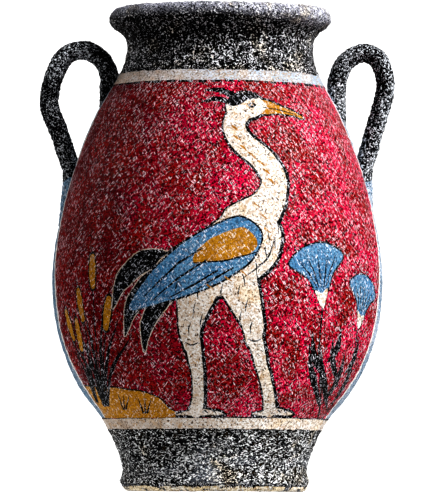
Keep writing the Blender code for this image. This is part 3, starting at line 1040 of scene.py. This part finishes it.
def times(tree, first, second):
    return calculate(tree, "MULTIPLY", first, second)


def mapValue(tree, value, fromLow, fromHigh, toLow=0.0, toHigh=1.0, smooth=True):
    kind = "SMOOTHSTEP" if smooth else "LINEAR"
    links = {"Value": value, "From Min": fromLow, "From Max": fromHigh, "To Min": toLow, "To Max": toHigh}
    return addNode(tree, "ShaderNodeMapRange", links, interpolation_type=kind).outputs["Result"]


def grain(tree, vector, size, detail=2.0, roughness=0.55, distortion=0.0):
    links = {"Vector": vector, "Scale": 1 / size, "Detail": detail, "Roughness": roughness,
             "Distortion": distortion}
    return addNode(tree, "ShaderNodeTexNoise", links).outputs[0]


# Two layers of scratches: shift, size of the pattern and length of a piece in mm, width and what wear and
# painted light add to it, and how much is left out and what they take off that
strokeLayers = [(0.0, 1.4, 1.0, 0.040, 0.120, 0.663, 0.333), (0.07, 2.2, 1.9, 0.030, 0.060, 0.680, 0.220)]


def makeStrokesGroup():
    tree, given, result = newGroup("chippedStrokes", {"Position": (0.0, 0.0, 0.0), "Stretch": (1.0, 1.0, 1.0),
                                                      "Amount": 0.3, "WornAndLit": 0.5, "Faintest": 0.35}, ["Mask"])
    amount = times(tree, given["Amount"], given["WornAndLit"])
    layers = []
    for shift, size, breakSize, wideFrom, wideBy, limitFrom, limitBy in strokeLayers:
        wide = calculate(tree, "MULTIPLY_ADD", amount, wideBy, wideFrom)
        limit = calculate(tree, "MULTIPLY_ADD", amount, -limitBy, limitFrom)
        links = {0: given["Position"], 1: given["Stretch"], 2: (shift, shift, shift)}
        moved = addNode(tree, "ShaderNodeVectorMath", links, operation="MULTIPLY_ADD").outputs[0]
        threads = grain(tree, moved, size * mm, 1.0, 0.5, 0.5)
        thread = calculate(tree, "ABSOLUTE", calculate(tree, "SUBTRACT", threads, 0.5))
        line = mapValue(tree, thread, wide, calculate(tree, "ADD", wide, 0.012), 1.0, 0.0)
        breaks = grain(tree, moved, breakSize * mm, 1.0, 0.5)
        broken = mapValue(tree, breaks, limit, calculate(tree, "ADD", limit, 0.02))
        tone = mapValue(tree, grain(tree, moved, 2.2 * mm, 2.0, 0.6), 0.39, 0.55, given["Faintest"], 1.0)
        layers.append(times(tree, times(tree, line, broken), tone))
    tree.links.new(calculate(tree, "MAXIMUM", *layers), result["Mask"])
    return tree


# Two layers of dashes: which way they turn, their share where the painted side light is least and how it
# changes as that light grows
dashLayers = [(-0.85, 1.35, -1.02), (1.0, 0.32, 0.73)]
dashStretch = (40.0, 185.0, 1.0)


def makeDashesGroup():
    tree, given, result = newGroup("chippedDashes", {"Wrap": (0.0, 0.0, 0.0), "Amount": 0.3, "WornAndLit": 0.5,
                                                     "Slant": 0.9, "Side": 0.5}, ["Mask"])
    bends = addNode(tree, "ShaderNodeTexNoise", {"Vector": given["Wrap"], "Scale": 34.0, "Detail": 1.0})
    shifted = addNode(tree, "ShaderNodeVectorMath", {0: bends.outputs["Color"], 1: (0.014, 0.014, 0.0),
                                                     2: given["Wrap"]}, operation="MULTIPLY_ADD")
    amount = times(tree, given["Amount"], given["WornAndLit"])
    layers = []
    for way, share, bySide in dashLayers:
        slant = times(tree, given["Slant"], way)
        share = calculate(tree, "MULTIPLY_ADD", given["Side"], bySide, share)
        slanted = addNode(tree, "ShaderNodeVectorRotate", {"Vector": shifted.outputs[0], "Angle": slant},
                          rotation_type="Z_AXIS")
        stretched = addNode(tree, "ShaderNodeVectorMath", {0: slanted.outputs[0], 1: dashStretch},
                            operation="MULTIPLY")
        cells = addNode(tree, "ShaderNodeTexVoronoi", {"Vector": stretched.outputs[0], "Scale": 1.0},
                        voronoi_dimensions="2D")
        chance = addNode(tree, "ShaderNodeSeparateColor", {"Color": cells.outputs["Color"]})
        present = calculate(tree, "LESS_THAN", chance.outputs[0], times(tree, amount, share))
        size = calculate(tree, "MULTIPLY_ADD", chance.outputs[1], 0.24, 0.22)
        dash = mapValue(tree, cells.outputs["Distance"], size, calculate(tree, "ADD", size, 0.07), 1.0, 0.0)
        tone = calculate(tree, "MULTIPLY_ADD", calculate(tree, "POWER", chance.outputs[2], 1.8), 0.80, 0.20)
        layers.append(times(tree, times(tree, dash, present), tone))
    tree.links.new(calculate(tree, "MAXIMUM", *layers), result["Mask"])
    return tree


# The clay under the paint: size in mm, detail, roughness, distortion, and where the mask starts and ends
skinLayers = {
    "Wash": (18, 3.0, 0.6, 0.6, 0.34, 0.66), "Mottle": (3.4, 4.0, 0.72, 0.8, 0.54, 0.64),
    "Specks": (1.1, 1.0, 0.5, 0.0, 0.62, 0.65), "DustAndSheenGrain": (0.8, 2.0, 0.7, 0.5, 0.42, 0.60),
    "Patch": (15, 3.0, 0.60, 0.5, 0.52, 0.68),
}


def makeSkinGroup():
    outputs = [*skinLayers, "Grain", "Height"]
    tree, given, result = newGroup("claySkin", {"Position": (0.0, 0.0, 0.0)}, outputs)
    for label, (size, detail, roughness, distortion, low, high) in skinLayers.items():
        pattern = grain(tree, given["Position"], size * mm, detail, roughness, distortion)
        tree.links.new(mapValue(tree, pattern, low, high), result[label])
    coarse = grain(tree, given["Position"], 1.05 * mm, 1.5, 0.65, 0.3)
    fine = grain(tree, given["Position"], 0.6 * mm, 1.0, 0.5)
    tree.links.new(mapValue(tree, coarse, 0.42, 0.56), result["Grain"])
    tree.links.new(calculate(tree, "MULTIPLY_ADD", fine, 0.30, coarse), result["Height"])
    return tree


strokesGroup, dashesGroup, skinGroup = makeStrokesGroup(), makeDashesGroup(), makeSkinGroup()

# Every paint: its colour in the hollows and on the grains, its colour towards the right as painted light and
# shade from the side (the grains' colour is then the left's), what its chips show, its grey of dust and
# painted sheen, and how much of each sort of wear it has. What most paints share is in commonPaint.
chipCool, chipWarm, black = (0.90, 0.91, 1.0), (0.98, 0.90, 0.82), (0.0005, 0.0005, 0.0005)
commonPaint = {
    "strokes": 0.1, "faintest": 0.35, "stretch": (1.0, 1.0, 1.0), "dashes": 0.3, "slant": 0.95,
    "mottle": 0.2, "specks": 0.0, "roughness": 0.45, "shine": 0.03, "depth": 0.2,
}
paints = {
    "neckSlip": {
        "deep": black, "shade": (0.002, 0.002, 0.003), "wash": (0.007, 0.006, 0.005),
        "chip": (0.96, 0.96, 1.0), "stain": (0.035, 0.022, 0.01), "tint": (1.0, 0.92, 0.78),
        "dustAndSheen": (0.52, 0.52, 0.62), "strokes": 0.95, "faintest": 0.06, "stretch": (1.12, 1.12, 1.12),
        "dashes": 0.1, "slant": 0.5, "mottle": 0.25, "shine": 0.025, "depth": 0.3,
    },
    "footSlip": {
        "deep": black, "shade": (0.002, 0.002, 0.003), "wash": (0.008, 0.007, 0.005),
        "chip": (0.98, 0.99, 1.0), "stain": (0.055, 0.032, 0.01), "tint": (0.92, 0.82, 0.66),
        "dustAndSheen": (0.46, 0.51, 0.62), "strokes": 0.96, "faintest": 0.06, "stretch": (0.84, 0.84, 1.4),
        "dashes": 0.15, "slant": 0.1, "mottle": 0.45, "shine": 0.02, "depth": 0.3,
    },
    "handleSlip": {
        "deep": black, "shade": (0.002, 0.002, 0.003), "wash": (0.006, 0.005, 0.006),
        "chip": (0.9, 0.94, 1.0), "stain": (0.03, 0.02, 0.012), "strokes": 0.96, "faintest": 0.06,
        "stretch": (1.25, 1.25, 1.25), "slant": 1.0, "roughness": 0.42, "shine": 0.035, "depth": 0.3,
    },
    "brushBlack": {
        "deep": (0.001, 0.001, 0.001), "shade": (0.003, 0.003, 0.004), "wash": (0.007, 0.006, 0.005),
        "chip": chipCool, "stain": (0.03, 0.02, 0.012), "strokes": 0.3, "stretch": (1.3, 1.3, 1.3),
        "dashes": 0.45, "slant": 0.9, "mottle": 0.15, "depth": 0.22,
    },
    "redPaint": {
        "deep": (0.04, 0.0, 0.003), "shade": (0.165, 0.0, 0.008), "wash": (0.36, 0.01, 0.01),
        "thin": (0.84, 0.005, 0.096), "chip": (1.0, 0.8, 0.86), "stain": (0.105, 0.026, 0.005),
        "strokes": 0.12, "faintest": 0.03, "stretch": (1.15, 1.15, 1.15), "dashes": 0.78, "mottle": 0.42,
        "specks": 0.4, "roughness": 0.42, "shine": 0.02, "depth": 0.26,
    },
    "bluePaint": {
        "deep": (0.045, 0.13, 0.24), "shade": (0.1, 0.27, 0.47), "wash": (0.16, 0.33, 0.49),
        "chip": chipCool, "stain": (0.03, 0.06, 0.09), "stretch": (1.3, 1.3, 1.3), "dashes": 0.6,
        "mottle": 0.35, "specks": 0.5,
    },
    "ochrePaint": {
        "deep": (0.33, 0.14, 0.008), "shade": (0.6, 0.29, 0.024), "wash": (0.47, 0.205, 0.014),
        "chip": chipWarm, "stain": (0.18, 0.065, 0.007), "stretch": (1.3, 1.3, 1.3), "dashes": 0.62,
        "mottle": 0.4, "specks": 0.4,
    },
    "greyPaint": {
        "deep": (0.08, 0.14, 0.21), "shade": (0.13, 0.29, 0.44), "wash": (0.23, 0.36, 0.49),
        "thin": (0.6, 0.7, 0.82), "chip": chipCool, "stain": (0.05, 0.06, 0.07), "strokes": 0.5,
        "dashes": 0.7, "mottle": 0.5, "specks": 0.9, "roughness": 0.48,
    },
    "bandSlip": {
        "deep": (0.42, 0.36, 0.31), "shade": (0.68, 0.49, 0.37), "wash": (0.62, 0.64, 0.71),
        "thin": (0.36, 0.5, 0.67), "chip": (0.9, 0.92, 0.95), "stain": (0.33, 0.19, 0.08),
        "tint": (1.0, 0.92, 0.83), "strokes": 0.15, "dashes": 0.35, "slant": 0.3, "mottle": 0.3,
        "specks": 0.8, "roughness": 0.5, "shine": 0.08, "depth": 0.18,
    },
    "creamSlip": {
        "deep": (0.58, 0.46, 0.36), "shade": (0.34, 0.26, 0.2), "wash": (0.88, 0.84, 0.81),
        "thin": (1.0, 0.96, 0.91), "chip": (0.98, 0.96, 0.94), "stain": (0.46, 0.24, 0.06),
        "tint": (1.0, 0.9, 0.74), "dashes": 0.4, "mottle": 0.62, "specks": 1.0, "roughness": 0.5,
        "shine": 0.08, "depth": 0.16,
    },
    "edgeClay": {
        "deep": (0.5, 0.38, 0.22), "shade": (0.92, 0.74, 0.46), "wash": (0.92, 0.88, 0.8),
        "chip": (0.98, 0.94, 0.86), "stain": (0.22, 0.11, 0.03), "stretch": (0.6, 0.6, 1.6), "slant": 0.1,
        "mottle": 0.5, "specks": 0.6, "roughness": 0.6, "shine": 0.08, "depth": 0.24,
    },
    "ruleSlip": {
        "deep": (0.7, 0.63, 0.56), "shade": (0.98, 0.95, 0.9), "wash": (0.9, 0.9, 0.92),
        "chip": (1.0, 1.0, 1.0), "stain": (0.45, 0.3, 0.16), "slant": 0.9, "specks": 0.5, "roughness": 0.5,
        "shine": 0.08, "depth": 0.12,
    },
    "bareClay": {
        "deep": (0.3, 0.19, 0.09), "shade": (0.62, 0.45, 0.27), "wash": (0.74, 0.62, 0.44),
        "chip": (0.86, 0.78, 0.62), "stain": (0.2, 0.11, 0.04), "slant": 0.2, "mottle": 0.6, "specks": 0.8,
        "roughness": 0.7, "shine": 0.05,
    },
}
speckColour = (0.080, 0.045, 0.022, 1)


def mixColour(tree, share, low, high, blend="MIX"):
    links = {0: share, 6: low, 7: high}
    return addNode(tree, "ShaderNodeMix", links, data_type="RGBA", blend_type=blend).outputs[2]


def makePaint(name):
    values = {**commonPaint, **paints[name]}
    colours = {key: (*value, 1) for key, value in paints[name].items()
               if isinstance(value, tuple) and key != "stretch"}
    material = bpy.data.materials.new(name)
    material.use_nodes = True
    tree = material.node_tree
    shader = tree.nodes["Principled BSDF"]

    def attribute(label):
        return addNode(tree, "ShaderNodeAttribute", attribute_name=label).outputs["Fac"]

    def share(label, amount):
        return times(tree, skin.outputs[label], amount)

    position = addNode(tree, "ShaderNodeTexCoord").outputs["Object"]
    wrap = addNode(tree, "ShaderNodeUVMap", uv_map="wrap").outputs[0]
    wornAndLit, litAndFaded = attribute("wornAndLit"), attribute("litAndFaded")
    skin = addNode(tree, "ShaderNodeGroup", {"Position": position}, node_tree=skinGroup)
    links = {"Position": position, "Stretch": values["stretch"], "Faintest": values["faintest"],
             "Amount": values["strokes"], "WornAndLit": wornAndLit}
    strokes = addNode(tree, "ShaderNodeGroup", links, node_tree=strokesGroup)
    links = {"Wrap": wrap, "Slant": values["slant"], "Side": litAndFaded, "Amount": values["dashes"], "WornAndLit": wornAndLit}
    dashes = addNode(tree, "ShaderNodeGroup", links, node_tree=dashesGroup)

    colour = colours["shade"]
    # Painted light and shade: the colour moves towards the paint's right-side colour across the jar
    if "thin" in colours:
        colour = mixColour(tree, litAndFaded, colour, colours["thin"])
    colour = mixColour(tree, skin.outputs["Wash"], colour, colours["wash"])
    colour = mixColour(tree, skin.outputs["Grain"], colours["deep"], colour)
    colour = mixColour(tree, share("Mottle", values["mottle"]), colour, colours["stain"])
    colour = mixColour(tree, share("Specks", values["specks"]), colour, speckColour)
    # A grey of dust and painted sheen on the lip top and the foot
    if "dustAndSheen" in colours:
        colour = mixColour(tree, share("DustAndSheenGrain", attribute("dustAndSheenAmount")), colour, colours["dustAndSheen"])
    # Chips: worn specks, and where they thicken with the light, painted glints
    chips = calculate(tree, "MAXIMUM", strokes.outputs["Mask"], dashes.outputs["Mask"])
    colour = mixColour(tree, chips, colour, colours["chip"])
    if "tint" in colours:
        colour = mixColour(tree, skin.outputs["Patch"], colour, colours["tint"], "MULTIPLY")
    tree.links.new(colour, shader.inputs["Base Color"])
    rough = mapValue(tree, chips, 0.0, 1.0, values["roughness"], values["roughness"] + 0.2)
    tree.links.new(rough, shader.inputs["Roughness"])
    height = calculate(tree, "MULTIPLY_ADD", chips, 0.5, skin.outputs["Height"])
    links = {"Height": height, "Strength": 1.0, "Distance": values["depth"] * mm}
    bump = addNode(tree, "ShaderNodeBump", links)
    tree.links.new(bump.outputs[0], shader.inputs["Normal"])
    shader.inputs["Metallic"].default_value = 0.0
    shader.inputs["Specular IOR Level"].default_value = values["shine"]
    return material


materials = {name: makePaint(name) for name in paintOrder}
print("paints mixed")


def dress(piece):
    for name in paintOrder:
        piece.data.materials.append(materials[name])
    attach(piece, "root")
    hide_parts("amphora")


dress(buildJar())
print("jar built")
for handleName in loops:
    dress(buildHandle(handleName))
print("handles built")


# Studio: a plain pale floor, white surroundings and soft lights
studio = {
    "floorRadius": 1.2, "glow": 0.60, "around": 0.165,
    "lamps": {
        "key": {"turn": 58, "rise": 38, "away": 3.4, "size": 1.4, "power": 130.0},
        "rim": {"turn": -108, "rise": 24, "away": 3.0, "size": 1.2, "power": 19.0},
        "top": {"turn": 10, "rise": 84, "away": 3.0, "size": 2.0, "power": 14.0},
        "bounce": {"turn": 30, "rise": -90, "away": 0.1197, "size": 0.7, "power": 0.62},
    },
}


def makeStudio():
    scene = bpy.context.scene
    form = bmesh.new()
    bmesh.ops.create_circle(form, cap_ends=True, segments=96, radius=studio["floorRadius"])
    mesh = bpy.data.meshes.new("paleFloor")
    form.to_mesh(mesh)
    form.free()
    floor = addObject("paleFloor", mesh)
    floor.location.z = -0.3 * mm
    material = bpy.data.materials.new("palePaper")
    material.use_nodes = True
    paper = material.node_tree.nodes["Principled BSDF"]
    paper.inputs["Base Color"].default_value = (0.92, 0.92, 0.92, 1)
    paper.inputs["Roughness"].default_value = 0.9
    paper.inputs["Emission Color"].default_value = (1, 1, 1, 1)
    paper.inputs["Emission Strength"].default_value = studio["glow"]
    mesh.materials.append(material)
    floor.visible_diffuse = False
    floor.visible_glossy = False
    for name, lamp in studio["lamps"].items():
        data = bpy.data.lights.new(name + "Light", "AREA")
        data.shape = "DISK"
        data.size = lamp["size"]
        data.energy = lamp["power"]
        light = addObject(name + "Light", data)
        turn, rise = math.radians(lamp["turn"]), math.radians(lamp["rise"])
        way = Vector((math.sin(turn) * math.cos(rise), -math.cos(turn) * math.cos(rise), math.sin(rise)))
        light.location = Vector((0, 0, 0.12)) + way * lamp["away"]
        light.rotation_mode = "QUATERNION"
        light.rotation_quaternion = (-way).to_track_quat("-Z", "Y")
        light.visible_camera = False
    world = bpy.data.worlds.new("whiteStudio")
    world.use_nodes = True
    scene.world = world
    tree = world.node_tree
    background = tree.nodes["Background"]
    lightPath = addNode(tree, "ShaderNodeLightPath").outputs["Is Camera Ray"]
    glow = mapValue(tree, lightPath, 0.0, 1.0, studio["around"], 1.0, False)
    tree.links.new(glow, background.inputs["Strength"])
    background.inputs["Color"].default_value = (1, 1, 1, 1)
    scene.view_settings.view_transform = "Standard"
    scene.view_settings.look = "High Contrast"


makeStudio()
print("studio lit")
